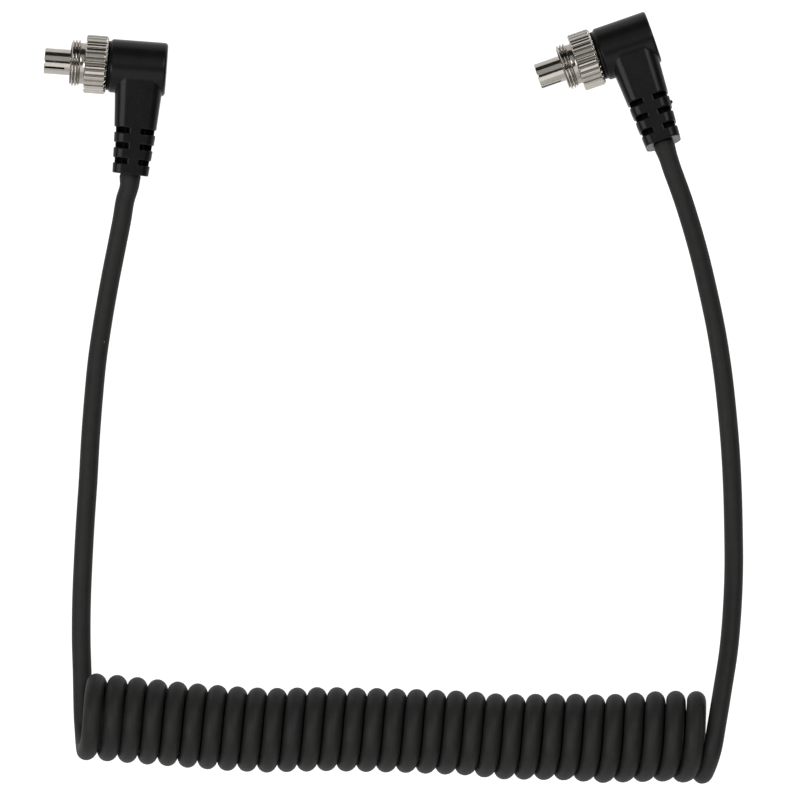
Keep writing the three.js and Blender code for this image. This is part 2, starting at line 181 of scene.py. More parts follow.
NECK_MOUTH = 0.1  # mm below the neck's end


def curve_through(points, step):
    """Points a step apart along the centripetal Catmull-Rom curve through the given ones."""
    given = np.array(points, float)
    ends = np.vstack([2 * given[0] - given[1], given, 2 * given[-1] - given[-2]])
    knots = np.concatenate([[0], np.cumsum(np.sqrt(np.linalg.norm(np.diff(ends, axis=0), axis=1)))])
    fine = []
    for i in range(1, len(ends) - 2):
        t0, t1, t2, t3 = knots[i - 1 : i + 3]
        p0, p1, p2, p3 = ends[i - 1 : i + 3]
        t = np.linspace(t1, t2, CURVE_STEPS, endpoint=False)[:, None]
        a1 = (t1 - t) / (t1 - t0) * p0 + (t - t0) / (t1 - t0) * p1
        a2 = (t2 - t) / (t2 - t1) * p1 + (t - t1) / (t2 - t1) * p2
        a3 = (t3 - t) / (t3 - t2) * p2 + (t - t2) / (t3 - t2) * p3
        b1 = (t2 - t) / (t2 - t0) * a1 + (t - t0) / (t2 - t0) * a2
        b2 = (t3 - t) / (t3 - t1) * a2 + (t - t1) / (t3 - t1) * a3
        fine.append((t2 - t) / (t2 - t1) * b1 + (t - t1) / (t2 - t1) * b2)
    line = np.vstack([*fine, given[-1:]])
    along = np.concatenate([[0], np.cumsum(np.linalg.norm(np.diff(line, axis=0), axis=1))])
    at = np.linspace(0, along[-1], math.ceil(along[-1] / step) + 1)
    return np.stack([np.interp(at, along, line[:, k]) for k in range(3)], axis=1)


def neck_points(letter, downs):
    """Points on a neck's own line, given how far down it they are, in millimetres."""
    matrix = plug_matrix(letter)
    return [tuple(matrix @ Vector((lean_at(letter, down) * MM, -down * MM, 0))) for down in downs]


def coil_points():
    """The helix, from the table under its first turn to its last turn's lower edge."""
    points = []
    for i in range(-COIL_STEPS // 4, COIL_TURNS * COIL_STEPS + 1):
        turn = i / COIL_STEPS
        angle = 2 * math.pi * turn
        x, y, radius = (between(COIL_STATIONS, turn, column) for column in (1, 2, 3))
        skew = 1 + COIL_SKEW * math.cos(angle)
        lean = between(COIL_LEAN, turn) * (1 - math.cos(angle)) / 2
        sway = between(COIL_SWAY, turn) * max(math.sin(angle), 0) ** SWAY_POWER * skew
        tuck = between(COIL_TUCK, turn) * max(-math.sin(angle), 0) * skew
        height = FLOOR_CORD + radius * (1 + math.sin(angle))
        points.append((x + lean + sway - tuck, y - radius * math.cos(angle), height))
    return points


def cord_line():
    """The cord's middle, from inside neck a through the coil to inside neck b."""
    downs = (*CORD_INSIDE, NECK_LENGTH + CORD_GAP, NECK_LENGTH + CORD_GAP + CORD_R)
    start = neck_points("a", downs)
    end = neck_points("b", downs[::-1])
    return curve_through([*start, *LEAD_A, *coil_points(), *LEAD_B[::-1], *end], STEP)


# ---- mesh building ----
def piece(name, points, faces, sharp=None):
    """A mesh object with smooth shading, split where faces meet at more than sharp degrees."""
    mesh = bpy.data.meshes.new(name)
    mesh.from_pydata([tuple(p) for p in points], [], faces)
    mesh.validate()
    mesh.shade_smooth()
    if sharp is not None:
        mesh.set_sharp_from_angle(angle=math.radians(sharp))
    obj = bpy.data.objects.new(name, mesh)
    bpy.context.scene.collection.objects.link(obj)
    return obj


def keep_attribute(obj, name, values):
    """Stores three numbers for each point, for a material to read."""
    attribute = obj.data.attributes.new(name, "FLOAT_VECTOR", "POINT")
    attribute.data.foreach_set("vector", np.array(values, np.float32).ravel())


def grid_faces(rows, columns, wrap_rows=False):
    """Quads of a grid whose columns close on themselves."""
    faces = []
    for i in range(rows if wrap_rows else rows - 1):
        near = i * columns
        far = (i + 1) % rows * columns
        for j in range(columns):
            right = (j + 1) % columns
            faces.append((near + j, far + j, far + right, near + right))
    return faces


def tube(name, line, radii, sides):
    """A round tube along a line, closed at both ends. Its length and angle are kept for the material."""
    count = len(line)
    tangents = np.gradient(line, axis=0)
    tangents /= np.linalg.norm(tangents, axis=1)[:, None]
    side = np.cross(tangents[0], (0, 0, 1))
    side /= np.linalg.norm(side)
    angles = np.linspace(0, 2 * math.pi, sides, endpoint=False)
    points = []
    for i in range(count):
        side = side - tangents[i] * (side @ tangents[i])
        side /= np.linalg.norm(side)
        up = np.cross(side, tangents[i])
        outward = np.cos(angles)[:, None] * side + np.sin(angles)[:, None] * up
        points.append(line[i] + radii[i] * outward)
    along = np.concatenate([[0], np.cumsum(np.linalg.norm(np.diff(line, axis=0), axis=1))])
    lengths = np.repeat(along, sides)
    turns = np.tile(angles, count)
    unrolled = np.stack([lengths, CORD_R * MM * np.cos(turns), CORD_R * MM * np.sin(turns)], axis=1)
    first, last = count * sides, count * sides + 1
    faces = grid_faces(count, sides)
    for j in range(sides):
        right = (j + 1) % sides
        faces.append((first, j, right))
        faces.append((last, (count - 1) * sides + right, (count - 1) * sides + j))
    obj = piece(name, np.vstack([*points, line[:1], line[-1:]]), faces, CORD_END_SHARP)
    keep_attribute(obj, "unrolled", np.vstack([unrolled, [(0, 0, 0), (along[-1], 0, 0)]]))
    return obj


def lay_cord():
    line = cord_line()
    radii = np.full(len(line), CORD_R * MM)
    for letter in ("a", "b"):
        mouth = np.array(neck_points(letter, [NECK_LENGTH + NECK_MOUTH])[0])
        inner = np.array(neck_points(letter, [0.0])[0])
        down = (mouth - inner) / np.linalg.norm(mouth - inner)
        away = (line - mouth) @ down
        near = np.linalg.norm(line - mouth, axis=1) < SKIRT_REACH
        radii += SKIRT * np.exp(-((away / SKIRT_FADE) ** 2)) * (away > 0) * near
    cord = tube("cord", line, radii, CORD_SIDES)
    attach(cord, "cord_and_plugs")
    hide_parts("cord_lead_a", "cord_coil", "cord_lead_b", "plug_a_cord_tail", "plug_b_cord_tail")
    return cord


cord = lay_cord()


# ---- turned metal ----
def reach_of(node, letter):
    """A CAD node's ends along its plug's mating axis, and its largest radius, in millimetres."""
    back = plug_matrix(letter).inverted()
    at = np.array([back @ v.co for v in frame["nodes"][node].data.vertices]) / MM
    return at[:, 0].min(), at[:, 0].max(), np.hypot(at[:, 1], at[:, 2]).max()


def place(obj, letter, spin=0.0):
    """Moves a mesh made in a plug's own frame, in millimetres, to where the plug lies."""
    obj.data.transform(plug_matrix(letter, spin) @ Matrix.Scale(MM, 4))
    obj.data.update()


def around(rows, angles, name):
    """A form turned about X, from rows of places along X and radii, which may differ from column to
    column. A row's last number is painted light and polish: 1 bright on a crest, 0 painted dark in a
    root."""
    columns = len(angles)
    x = np.array([np.broadcast_to(row[0], columns) for row in rows])
    r = np.array([np.broadcast_to(row[1], columns) for row in rows])
    painted_light_and_polish = np.array([np.broadcast_to(row[2], columns) for row in rows])
    points = np.stack([x, r * np.cos(angles), r * np.sin(angles)], axis=2).reshape(-1, 3)
    obj = piece(name, points, grid_faces(len(rows), columns, wrap_rows=True), METAL_SHARP)
    turned = np.stack([x * MM, painted_light_and_polish, np.broadcast_to(angles, x.shape)], axis=2)
    keep_attribute(obj, "turned", turned.reshape(-1, 3))
    return obj


METAL_SHARP = 35  # degrees
THREAD_R = 3.25  # 0.25 beyond the CAD's
THREAD_PITCH = 0.45
THREAD_DEPTH = 0.38
THREAD_STEPS = 12  # to each turn
THREAD_FOOT = 0.46  # half the width of a crest at its foot, as a share of the pitch
THREAD_FLANK = 0.28  # the width of each flank, as a share of the pitch
THREAD_RUN = 1.45  # of thread, from the ring's front face
THREAD_LEAD_IN = 0.26  # how much lower the first crest starts
THREAD_FADE = 0.22  # the length of the run-out
# painted light in the thread's roots, which paints them darker, as shade
ROOT_PAINTED_LIGHT = 0.25
WAIST_LENGTH = 0.62
WAIST_FILLET = 0.12
KNURL_TEETH = 30
KNURL_DEPTH = 0.3
KNURL_GROWTH = 0.07  # beyond the CAD ring's radius
KNURL_CHAMFER = (0.15, 0.3)  # at its front and its back
CHAMFER_STEPS = (0.02, 0.08, 0.16, 0.24, 0.32, 0.42)  # in from the knurl's ends
RIM_ROUND = 0.08  # how far in from a rim its flat end starts
FACE_PAINTED_SHADE = 0.25  # how far in from its rim the painted shade on the knurl's front starts
LIP_BORE = 1.9
LIP_LENGTH = 0.55
STOP_BORE = 2.3  # round the sleeve's stop collar
EDGE = 0.06  # the small round left on turned edges
TOOTH = [  # across one tooth: its share of the pitch from the middle, and its height
    (-0.5, 0.04),
    (-0.44, 0.2),
    (-0.32, 0.84),
    (-0.27, 0.96),
    (-0.19, 1.0),
    (0.0, 1.0),
    (0.19, 1.0),
    (0.27, 0.96),
    (0.32, 0.84),
    (0.44, 0.2),
]


def ease(x):
    x = np.clip(x, 0, 1)
    return x * x * (3 - 2 * x)


def lock_ring(letter):
    """One turned piece: a helical thread with a lead-in and a run-out, a waist and a straight knurl."""
    node = f"plug_{letter}_lock_ring"
    front, back, knurl_r = reach_of(node, letter)
    pitch = 2 * math.pi / KNURL_TEETH
    angles = np.array([(i + at) * pitch for i in range(KNURL_TEETH) for at, _ in TOOTH])
    height = np.array([high for _ in range(KNURL_TEETH) for _, high in TOOTH])
    knurl_r += KNURL_GROWTH
    tooth = knurl_r - KNURL_DEPTH * (1 - height)
    waist = THREAD_R - THREAD_DEPTH
    thread_back = front + THREAD_RUN
    knurl_front = thread_back + WAIST_LENGTH
    rim, back_rim = (knurl_r - chamfer for chamfer in KNURL_CHAMFER)

    def knurl_row(x, limit):
        """The teeth, no higher than a limit where a chamfer cuts them, with painted light: full on the
        chamfer, and painted shade down each groove.
        """
        return x, np.minimum(tooth, limit), np.where(tooth < limit, height, 1.0)

    # The last number of each row is painted light: rims, crests and chamfers bright, with painted shade
    # in the thread's roots, the waist and the bore behind the lip.
    rows = [(front + EDGE, LIP_BORE, 0.6), (front, LIP_BORE + EDGE, 1.0), (front, waist - EDGE, 1.0)]
    for x in np.arange(front, thread_back + 0.001, THREAD_PITCH / THREAD_STEPS):
        turn = ((x - front) / THREAD_PITCH - angles / (2 * math.pi)) % 1.0
        crest = ease((THREAD_FOOT - np.abs(turn - 0.5)) / THREAD_FLANK)
        lift = crest * ease((thread_back - x) / THREAD_FADE)
        top = THREAD_R - THREAD_LEAD_IN + (x - front)
        painted_light_and_polish = ROOT_PAINTED_LIGHT + (1 - ROOT_PAINTED_LIGHT) * lift
        rows.append((x, np.minimum(waist + THREAD_DEPTH * lift, top), painted_light_and_polish))
    rows += [
        (thread_back + 0.15, waist, 0.4),
        (knurl_front - WAIST_FILLET, waist, 0.4),
        (knurl_front - WAIST_FILLET / 4, waist + WAIST_FILLET / 4, 0.3),
        (knurl_front, waist + WAIST_FILLET, 0.5),
        (knurl_front, rim - FACE_PAINTED_SHADE, 0.9),
        (knurl_front, rim - RIM_ROUND, 1.0),
    ]
    half_length = 0.5 * (back - knurl_front)
    rows += [knurl_row(knurl_front + x, rim + x) for x in (*CHAMFER_STEPS, half_length)]
    rows += [knurl_row(back - x, back_rim + x) for x in reversed(CHAMFER_STEPS)]
    rows += [
        (back, back_rim - RIM_ROUND, 1.0),
        (back, STOP_BORE + EDGE, 0.8),
        (back - EDGE, STOP_BORE, 0.5),
        (front + LIP_LENGTH, STOP_BORE, 0.3),
        (front + LIP_LENGTH, LIP_BORE, 0.3),
    ]
    ring = around(rows, angles, f"lock_ring_{letter}")
    place(ring, letter, KNURL_TURN[letter])
    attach(ring, f"lock_ring_{letter}")
    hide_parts(node)
    return ring


SLEEVE_R = 1.8  # 0.05 beyond the CAD's
SLEEVE_BORE = 1.45
MOUTH_ROUND = 0.1
MOUTH_PAINTED_SHADE = 0.14  # how far in the bore its painted shade turns full
SLIT_WIDTH = 0.4
SLIT_LENGTH = 2.9
STOP = (4.35, 4.95)  # the collar that keeps the ring on, behind the sleeve's mouth
STOP_R = 2.2
TAIL_R = 2.0
ANCHOR_LENGTH = 1.0
SLEEVE_FACETS = 72
RIM_STEPS = 6


def contact_sleeve(letter):
    """A thin tube with a rounded mouth, slit along two sides so that its halves can spring. A row's
    last number is painted light as in around, and -1 in the bore, painted near black as shade."""
    node = f"plug_{letter}_contact_sleeve"
    mouth, back, anchor_r = reach_of(node, letter)
    stop_front, stop_back = mouth + STOP[0], mouth + STOP[1]
    slit_end = mouth + SLIT_LENGTH
    half_wall = (SLEEVE_R - SLEEVE_BORE) / 2
    rows = [
        (slit_end, SLEEVE_BORE, -1.0),
        (mouth + MOUTH_PAINTED_SHADE, SLEEVE_BORE, -1.0),
        (mouth + MOUTH_ROUND, SLEEVE_BORE, 0.0),
    ]
    for i in range(1, RIM_STEPS):
        angle = math.pi * i / RIM_STEPS
        x = mouth + MOUTH_ROUND - MOUTH_ROUND * math.sin(angle)
        rows.append((x, SLEEVE_R - half_wall - half_wall * math.cos(angle), 1.0))
    rows += [
        (mouth + MOUTH_ROUND, SLEEVE_R, 1.0),
        (mouth + MOUTH_PAINTED_SHADE, SLEEVE_R, 1.0),
        (slit_end, SLEEVE_R, 1.0),
    ]
    slit_rows = len(rows)
    rows += [
        (stop_front, SLEEVE_R, 0.5),
        (stop_front, STOP_R, 0.5),
        (stop_back, STOP_R, 0.5),
        (stop_back, TAIL_R, 0.3),
        (back - ANCHOR_LENGTH, TAIL_R, 0.3),
        (back - ANCHOR_LENGTH, anchor_r, 0.5),
        (back, anchor_r, 0.5),
        (back, SLEEVE_BORE, -1.0),
    ]
    quarter = np.linspace(0, math.pi, SLEEVE_FACETS // 2 + 1)[1:-1]
    edge = math.asin(SLIT_WIDTH / 2 / SLEEVE_R)
    half = np.concatenate([[edge], quarter, [math.pi - edge]])
    angles = np.concatenate([half, half + math.pi]) + math.pi / 2
    columns, across = len(angles), len(half)
    slits = ((across - 1, across), (columns - 1, 0))
    sleeve_points = []
    for x, r, _ in rows:
        turned = angles.copy()
        inward = math.asin(SLIT_WIDTH / 2 / r) - edge
        for left, right in slits:
            turned[left] -= inward
            turned[right] += inward
        ring = [np.full(columns, x), r * np.cos(turned), r * np.sin(turned)]
        sleeve_points.append(np.stack(ring, axis=1))
    faces = []
    for face in grid_faces(len(rows), columns, wrap_rows=True):
        row, column = divmod(face[0], columns)
        in_slit = row < slit_rows - 1 and column in (across - 1, columns - 1)
        if not in_slit:
            faces.append(face)
    for left, right in slits:
        faces.append([i * columns + left for i in range(slit_rows)])
        faces.append([i * columns + right for i in reversed(range(slit_rows))])
        outer = (slit_rows - 1) * columns
        faces.append([left, outer + left, outer + right, right])
    sleeve = piece(f"contact_sleeve_{letter}", np.vstack(sleeve_points), faces, METAL_SHARP)
    painted_light_and_polish = np.repeat([row[2] for row in rows], columns)
    along = np.repeat([row[0] * MM for row in rows], columns)
    keep_attribute(sleeve, "turned", np.stack([along, painted_light_and_polish, np.tile(angles, len(rows))], axis=1))
    place(sleeve, letter, SLIT[letter])
    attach(sleeve, "cord_and_plugs")
    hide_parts(node)
    return sleeve


# ---- elbow mouldings: a distance field, meshed where it is zero ----
BARREL_R = 3.75
BARREL_HALF = 4.0
BARREL_ROUND = {"a": 0.46, "b": 0.34}
BARREL_CHAMFER = {"a": 0.2, "b": 0.42}  # round the front
FINE_ROUND = 0.05
LAND_R = 3.45  # a low land behind the lock ring, so that no light shows between them
LAND_HEIGHT = 0.27
NECK_TOP = (3.5, 3.55)  # half its width and half its depth, on the mating axis
NECK_END = (2.52, 2.5)
NECK_CORNER = 1.85
NECK_CORNER_END = 1.3
TAPER_END = 1.1  # the taper goes on a little past the neck's end
NECK_EDGE = 0.14
NECK_BLEND = 0.12
END_SLANT = {"a": 0.0, "b": 0.45}  # how much shorter the neck is at its top than at its bottom
SLOT_COUNT = 3
SLOT_HEIGHT = 0.77
SLOT_PITCH = 2.16
END_RIB = 1.4
SLOT_SPINE = 0.75  # half the width of the spine on the face, and of the web on each side
SLOT_WEB = 0.5
SLOT_SIDE_STEP = 0.22  # how far each web stands back
SLOT_WALL_R = 1.78
SLOT_ROUND = 0.1
SLOT_RISE = {"a": 0.0, "b": 0.42}  # above the CAD's slots
SPINE_LEAN = {"a": 0.3, "b": 0.4}
NECK_SKEW = {"a": 0.0033, "b": 0.0}  # how far off square slots and end are, for each mm down the neck
SLOT_ROOF = 8.0  # down the neck, above every slot
INNER_FRONT, INNER_BACK = -3.2, 2.75  # the hollow that the inner mould fills
INNER_R = 2.95
INNER_INSET = 0.8
INNER_END = 7.31
TAIL_HOLE_R = 2.1
CORD_HOLE_R = 1.43
HOLE_OVERLAP = 0.1
HOLLOW_ROUND = 0.08
NUB = (3.26, -9.7, 0.9)  # a flash nub that the mould left on one neck
NUB_R = 0.28
NUB_BLEND = 0.1
SLOT_PAINTED_SHADE = (0.12, 0.4)  # how deep in a slot its painted shade starts, and over how much it grows
LAND_PAINTED_SHADE = 0.08  # the same for the land, from the barrel's front
END_REFLECTION_BAND = (0.8, 0.2)  # how far up a cut-off neck from its end the painted reflection reaches, and over how much it grows
END_REFLECTION_DEPTH = (0.05, 0.1)  # the same from the surface in
END_REFLECTION_SIDE = (1.25, 0.2)  # the same from the neck's middle out
FIELD_LOW, FIELD_HIGH = (-4.5, -15.5, -4.2), (4.4, 4.2, 4.2)
CELL = 0.11
SETTLE_ROUNDS = 2
SLOPE_STEP = 0.01
LEAST_SLOPE = 0.25  # squared


def soft_min(a, b, k):
    h = np.clip(0.5 + 0.5 * (b - a) / k, 0, 1)
    return b + (a - b) * h - k * h * (1 - h)


def soft_max(a, b, k):
    return -soft_min(-a, -b, k)


def rounded_box(across, up, corner):
    """Distance to a rounded rectangle, from how far a point is past its straight sides."""
    outside = np.hypot(np.maximum(across, 0), np.maximum(up, 0))
    return outside + np.minimum(np.maximum(across, up), 0) - corner


def neck_section(x, y, z, inset=0.0):
    """Distance to the tapering neck's sides."""
    down = np.clip(-y / NECK_LENGTH, 0, TAPER_END)
    half_x = NECK_TOP[0] + down * (NECK_END[0] - NECK_TOP[0]) - inset
    half_z = NECK_TOP[1] + down * (NECK_END[1] - NECK_TOP[1]) - inset
    corner = NECK_CORNER + down * (NECK_CORNER_END - NECK_CORNER) - inset
    return rounded_box(np.abs(x) - half_x + corner, np.abs(z) - half_z + corner, corner)


def elbow_distance(x, y, z, letter):
    """Distance to a moulding: a barrel, a neck with its slots, and the hollow for what is inside."""
    about_x = np.hypot(y, z)
    neck_x = x - lean_at(letter, -y)
    y = y - NECK_SKEW[letter] * np.minimum(y, 0) * neck_x
    about_y = np.hypot(neck_x, z)
    corner = BARREL_ROUND[letter]
    barrel = rounded_box(np.abs(x) - BARREL_HALF + corner, about_x - BARREL_R + corner, corner)
    chamfer = (about_x - BARREL_R - x - BARREL_HALF + BARREL_CHAMFER[letter]) / math.sqrt(2)
    barrel = soft_max(barrel, chamfer, FINE_ROUND)
    end = -NECK_LENGTH + END_SLANT[letter] * (z / NECK_END[1] + 1) / 2
    neck = soft_max(neck_section(neck_x, y, z), np.maximum(end - y, y), NECK_EDGE)
    land_x = np.abs(x) - BARREL_HALF - LAND_HEIGHT + FINE_ROUND
    land = rounded_box(land_x, about_x - LAND_R + FINE_ROUND, FINE_ROUND)
    front_land = np.maximum(land, x)
    body = np.minimum(soft_min(barrel, neck, NECK_BLEND), front_land)
    web = np.maximum(np.abs(z) - SLOT_WEB, neck_section(neck_x, y, z, SLOT_SIDE_STEP))
    spine = np.abs(x - SPINE_LEAN[letter]) - SLOT_SPINE
    kept = np.minimum(np.minimum(spine, web), about_y - SLOT_WALL_R)
    for i in range(SLOT_COUNT):
        middle = -NECK_LENGTH + END_RIB + SLOT_HEIGHT / 2 + i * SLOT_PITCH + SLOT_RISE[letter]
        slot = soft_max(np.abs(y - middle) - SLOT_HEIGHT / 2, -kept, SLOT_ROUND)
        body = soft_max(body, -slot, SLOT_ROUND)
    if letter == "b":
        spot = np.sqrt((x - NUB[0]) ** 2 + (y - NUB[1]) ** 2 + (z - NUB[2]) ** 2) - NUB_R
        body = soft_min(body, spot, NUB_BLEND)
    block = np.maximum(np.maximum(INNER_FRONT - x, x - INNER_BACK), about_x - INNER_R)
    stem = np.maximum(np.maximum(-INNER_END - y, y), neck_section(x, y, z, INNER_INSET))
    front_hole = np.maximum(x - INNER_FRONT - HOLE_OVERLAP, about_x - TAIL_HOLE_R)
    cord_hole = np.maximum(y + INNER_END - HOLE_OVERLAP, about_y - CORD_HOLE_R)
    hollow = np.minimum(np.minimum(block, stem), np.minimum(front_hole, cord_hole))
    return soft_max(body, -hollow, HOLLOW_ROUND)


def surface_net(distance, low, high, cell):
    """The points and quads of the surface where a distance is zero, one point to each cell it crosses."""
    axes = [np.arange(a, b + cell, cell) for a, b in zip(low, high)]
    value = distance(*np.meshgrid(*axes, indexing="ij"))
    inside = value < 0
    size = [n - 1 for n in value.shape]
    total = np.zeros((*size, 3))
    crossings = np.zeros(size)
    for axis in range(3):
        others = [k for k in range(3) if k != axis]
        for shift in ((0, 0), (0, 1), (1, 0), (1, 1)):
            start = [slice(0, n) for n in size]
            for k, s in zip(others, shift):
                start[k] = slice(s, size[k] + s)
            end = list(start)
            end[axis] = slice(1, size[axis] + 1)
            a, b = value[tuple(start)], value[tuple(end)]
            crossed = (a < 0) != (b < 0)
            share = np.where(crossed, a / np.where(crossed, a - b, 1), 0)
            total[..., axis] += share
            for k, s in zip(others, shift):
                total[..., k] += s * crossed
            crossings += crossed
    used = crossings > 0
    index = np.full(size, -1)
    index[used] = np.arange(used.sum())
    cells = np.argwhere(used)
    points = np.array(low) + cell * (cells + total[used] / crossings[used][:, None])
    faces = []
    for axis in range(3):
        b, c = (axis + 1) % 3, (axis + 2) % 3
        start = [slice(1, n) for n in size]
        start[axis] = slice(0, size[axis])
        end = list(start)
        end[axis] = slice(1, size[axis] + 1)
        first, second = inside[tuple(start)], inside[tuple(end)]
        for flip in (False, True):
            at = np.argwhere((first != second) & (first != flip))
            for k in (b, c):
                at[:, k] += 1
            ring = []
            for sb, sc in ((1, 1), (0, 1), (0, 0), (1, 0)):
                corner = at.copy()
                corner[:, b] -= sb
                corner[:, c] -= sc
                ring.append(index[tuple(corner.T)])
            quads = np.stack(ring if not flip else ring[::-1], axis=1)
            faces.append(quads)
    return points, np.concatenate(faces)


def settle(points, distance):
    """Moves points onto the surface along its slope."""
    for _ in range(SETTLE_ROUNDS):
        slope = np.zeros_like(points)
        for k in range(3):
            off = np.zeros(3)
            off[k] = SLOPE_STEP
            rise = distance(*(points + off).T) - distance(*(points - off).T)
            slope[:, k] = rise / (2 * SLOPE_STEP)
        away = distance(*points.T) / np.maximum((slope**2).sum(1), LEAST_SLOPE)
        points = points - np.clip(away, -CELL / 2, CELL / 2)[:, None] * slope
    return points


def ramp(value, start, run):
    return ease((value - start) / run)


def elbow(letter):
    """A moulding. Its painted shade, and the painted reflection on its slanted end, are kept for the
    material.
    """

    def distance(x, y, z):
        return elbow_distance(x, y, z, letter)

    points, faces = surface_net(distance, FIELD_LOW, FIELD_HIGH, CELL)
    points = settle(points, distance)
    moulding = piece(f"elbow_{letter}", points, faces.tolist())
    keep_attribute(moulding, "local", points * MM)
    x, y, z = points.T
    across = np.abs(x - lean_at(letter, -y))
    depth = np.where(y < -SLOT_ROOF, -neck_section(across, y, z), 0)
    # painted shade: black deep in the slots, on the neck's end face round the cord, and on the land in
    # front of the barrel
    painted_shade = np.maximum(ramp(depth, *SLOT_PAINTED_SHADE), ramp(-x, BARREL_HALF, LAND_PAINTED_SHADE))
    painted_end_reflection = 0 * y
    # painted reflection: a light patch on each corner of plug b's slanted end, where the painted shade is
    # lifted
    if END_SLANT[letter]:
        painted_end_reflection = ramp(-y, NECK_LENGTH - END_REFLECTION_BAND[0], END_REFLECTION_BAND[1])
        painted_end_reflection = painted_end_reflection * ramp(depth, *END_REFLECTION_DEPTH) * ramp(across, *END_REFLECTION_SIDE)
        painted_shade = painted_shade * (1 - painted_end_reflection)
    keep_attribute(moulding, "painted_shade_and_reflection", np.stack([painted_shade, painted_end_reflection, 0 * y], axis=1))
    place(moulding, letter)
    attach(moulding, "cord_and_plugs")
    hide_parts(f"plug_{letter}_overmould")
    return moulding


# ---- materials ----
class Shader:
    """A material's node tree, with short ways to add to it."""

    def __init__(self, name, **values):
        self.material = bpy.data.materials.new(name)
        self.material.use_nodes = True
        self.tree = self.material.node_tree
        self.surface = self.tree.nodes["Principled BSDF"]
        for socket, value in values.items():
            self.surface.inputs[socket.replace("_", " ")].default_value = value

    def add(self, kind, inputs=(), **settings):
        made = self.tree.nodes.new(kind)
        for key, value in settings.items():
            setattr(made, key, value)
        for socket, value in dict(inputs).items():
            if isinstance(value, bpy.types.NodeSocket):
                self.tree.links.new(value, made.inputs[socket])
            else:
                made.inputs[socket].default_value = value
        return made

    def link(self, value, socket):
        self.tree.links.new(value, self.surface.inputs[socket])

    def place(self):
        return self.add("ShaderNodeTexCoord").outputs["Object"]

    def attribute(self, name):
        return self.add("ShaderNodeAttribute", attribute_name=name).outputs["Vector"]

    def noise(self, at, scale, detail=2.0, roughness=0.5):
        inputs = {"Vector": at, "Scale": scale, "Detail": detail, "Roughness": roughness}
        return self.add("ShaderNodeTexNoise", inputs).outputs["Fac"]

    def spread(self, value, low, high, from_low=0.3, from_high=0.7):
        inputs = {"Value": value, "From Min": from_low, "From Max": from_high}
        inputs |= {"To Min": low, "To Max": high}
        return self.add("ShaderNodeMapRange", inputs).outputs["Result"]

    def mix(self, value, low, high):
        mixed = self.add("ShaderNodeMix", data_type="RGBA")
        for socket, given in ((0, value), (6, low), (7, high)):
            if isinstance(given, bpy.types.NodeSocket):
                self.tree.links.new(given, mixed.inputs[socket])
            else:
                mixed.inputs[socket].default_value = (*given, 1) if socket else given
        return mixed.outputs[2]

    def math(self, operation, a, b=0.0):
        return self.add("ShaderNodeMath", {0: a, 1: b}, operation=operation).outputs[0]

    def specks(self, at, scale, size, share):
        """Small round specks: 1 near the points of a share of the cells, and 0 elsewhere."""
        cells = self.add("ShaderNodeTexVoronoi", {"Vector": at, "Scale": scale})
        near = self.math("LESS_THAN", cells.outputs["Distance"], size)
        red = self.add("ShaderNodeSeparateColor", {"Color": cells.outputs["Color"]}).outputs["Red"]
        return self.math("MULTIPLY", near, self.math("GREATER_THAN", red, 1 - share))

    def bump(self, *layers):
        """Each layer is a height, how strong it is, and how high it stands in metres."""
        normal = None
        for height, strength, distance in layers:
            inputs = {"Height": height, "Strength": strength, "Distance": distance}
            if normal is not None:
                inputs["Normal"] = normal
            normal = self.add("ShaderNodeBump", inputs).outputs["Normal"]
        self.link(normal, "Normal")


def cord_jacket():
    """Matt black soft PVC: faint streaks from drawing, a fine grain and a few specks of dust."""
    shader = Shader("cord_jacket", Specular_IOR_Level=0.24)
    at = shader.place()
    drawn = {"Vector": shader.attribute("unrolled"), "Scale": (0.06, 1, 1)}
    streaks = shader.noise(shader.add("ShaderNodeMapping", drawn).outputs["Vector"], 3000, 2)
    blotches = shader.noise(at, 700, 3)
    grain = shader.noise(at, 9000, 2)
    base = shader.mix(shader.spread(blotches, 0, 1), (0.0095, 0.0095, 0.0092), (0.0145, 0.0144, 0.0138))
    base = shader.mix(shader.spread(streaks, 0, 0.5), base, (0.0165, 0.0163, 0.015))
    dust = shader.specks(at, 420, 0.045, 0.1)
    shader.link(shader.mix(dust, base, (0.2, 0.19, 0.17)), "Base Color")
    shader.link(shader.spread(grain, 0.52, 0.66), "Roughness")
    shader.bump((grain, 0.35, 0.00001), (streaks, 0.2, 0.00001))
    return shader.material


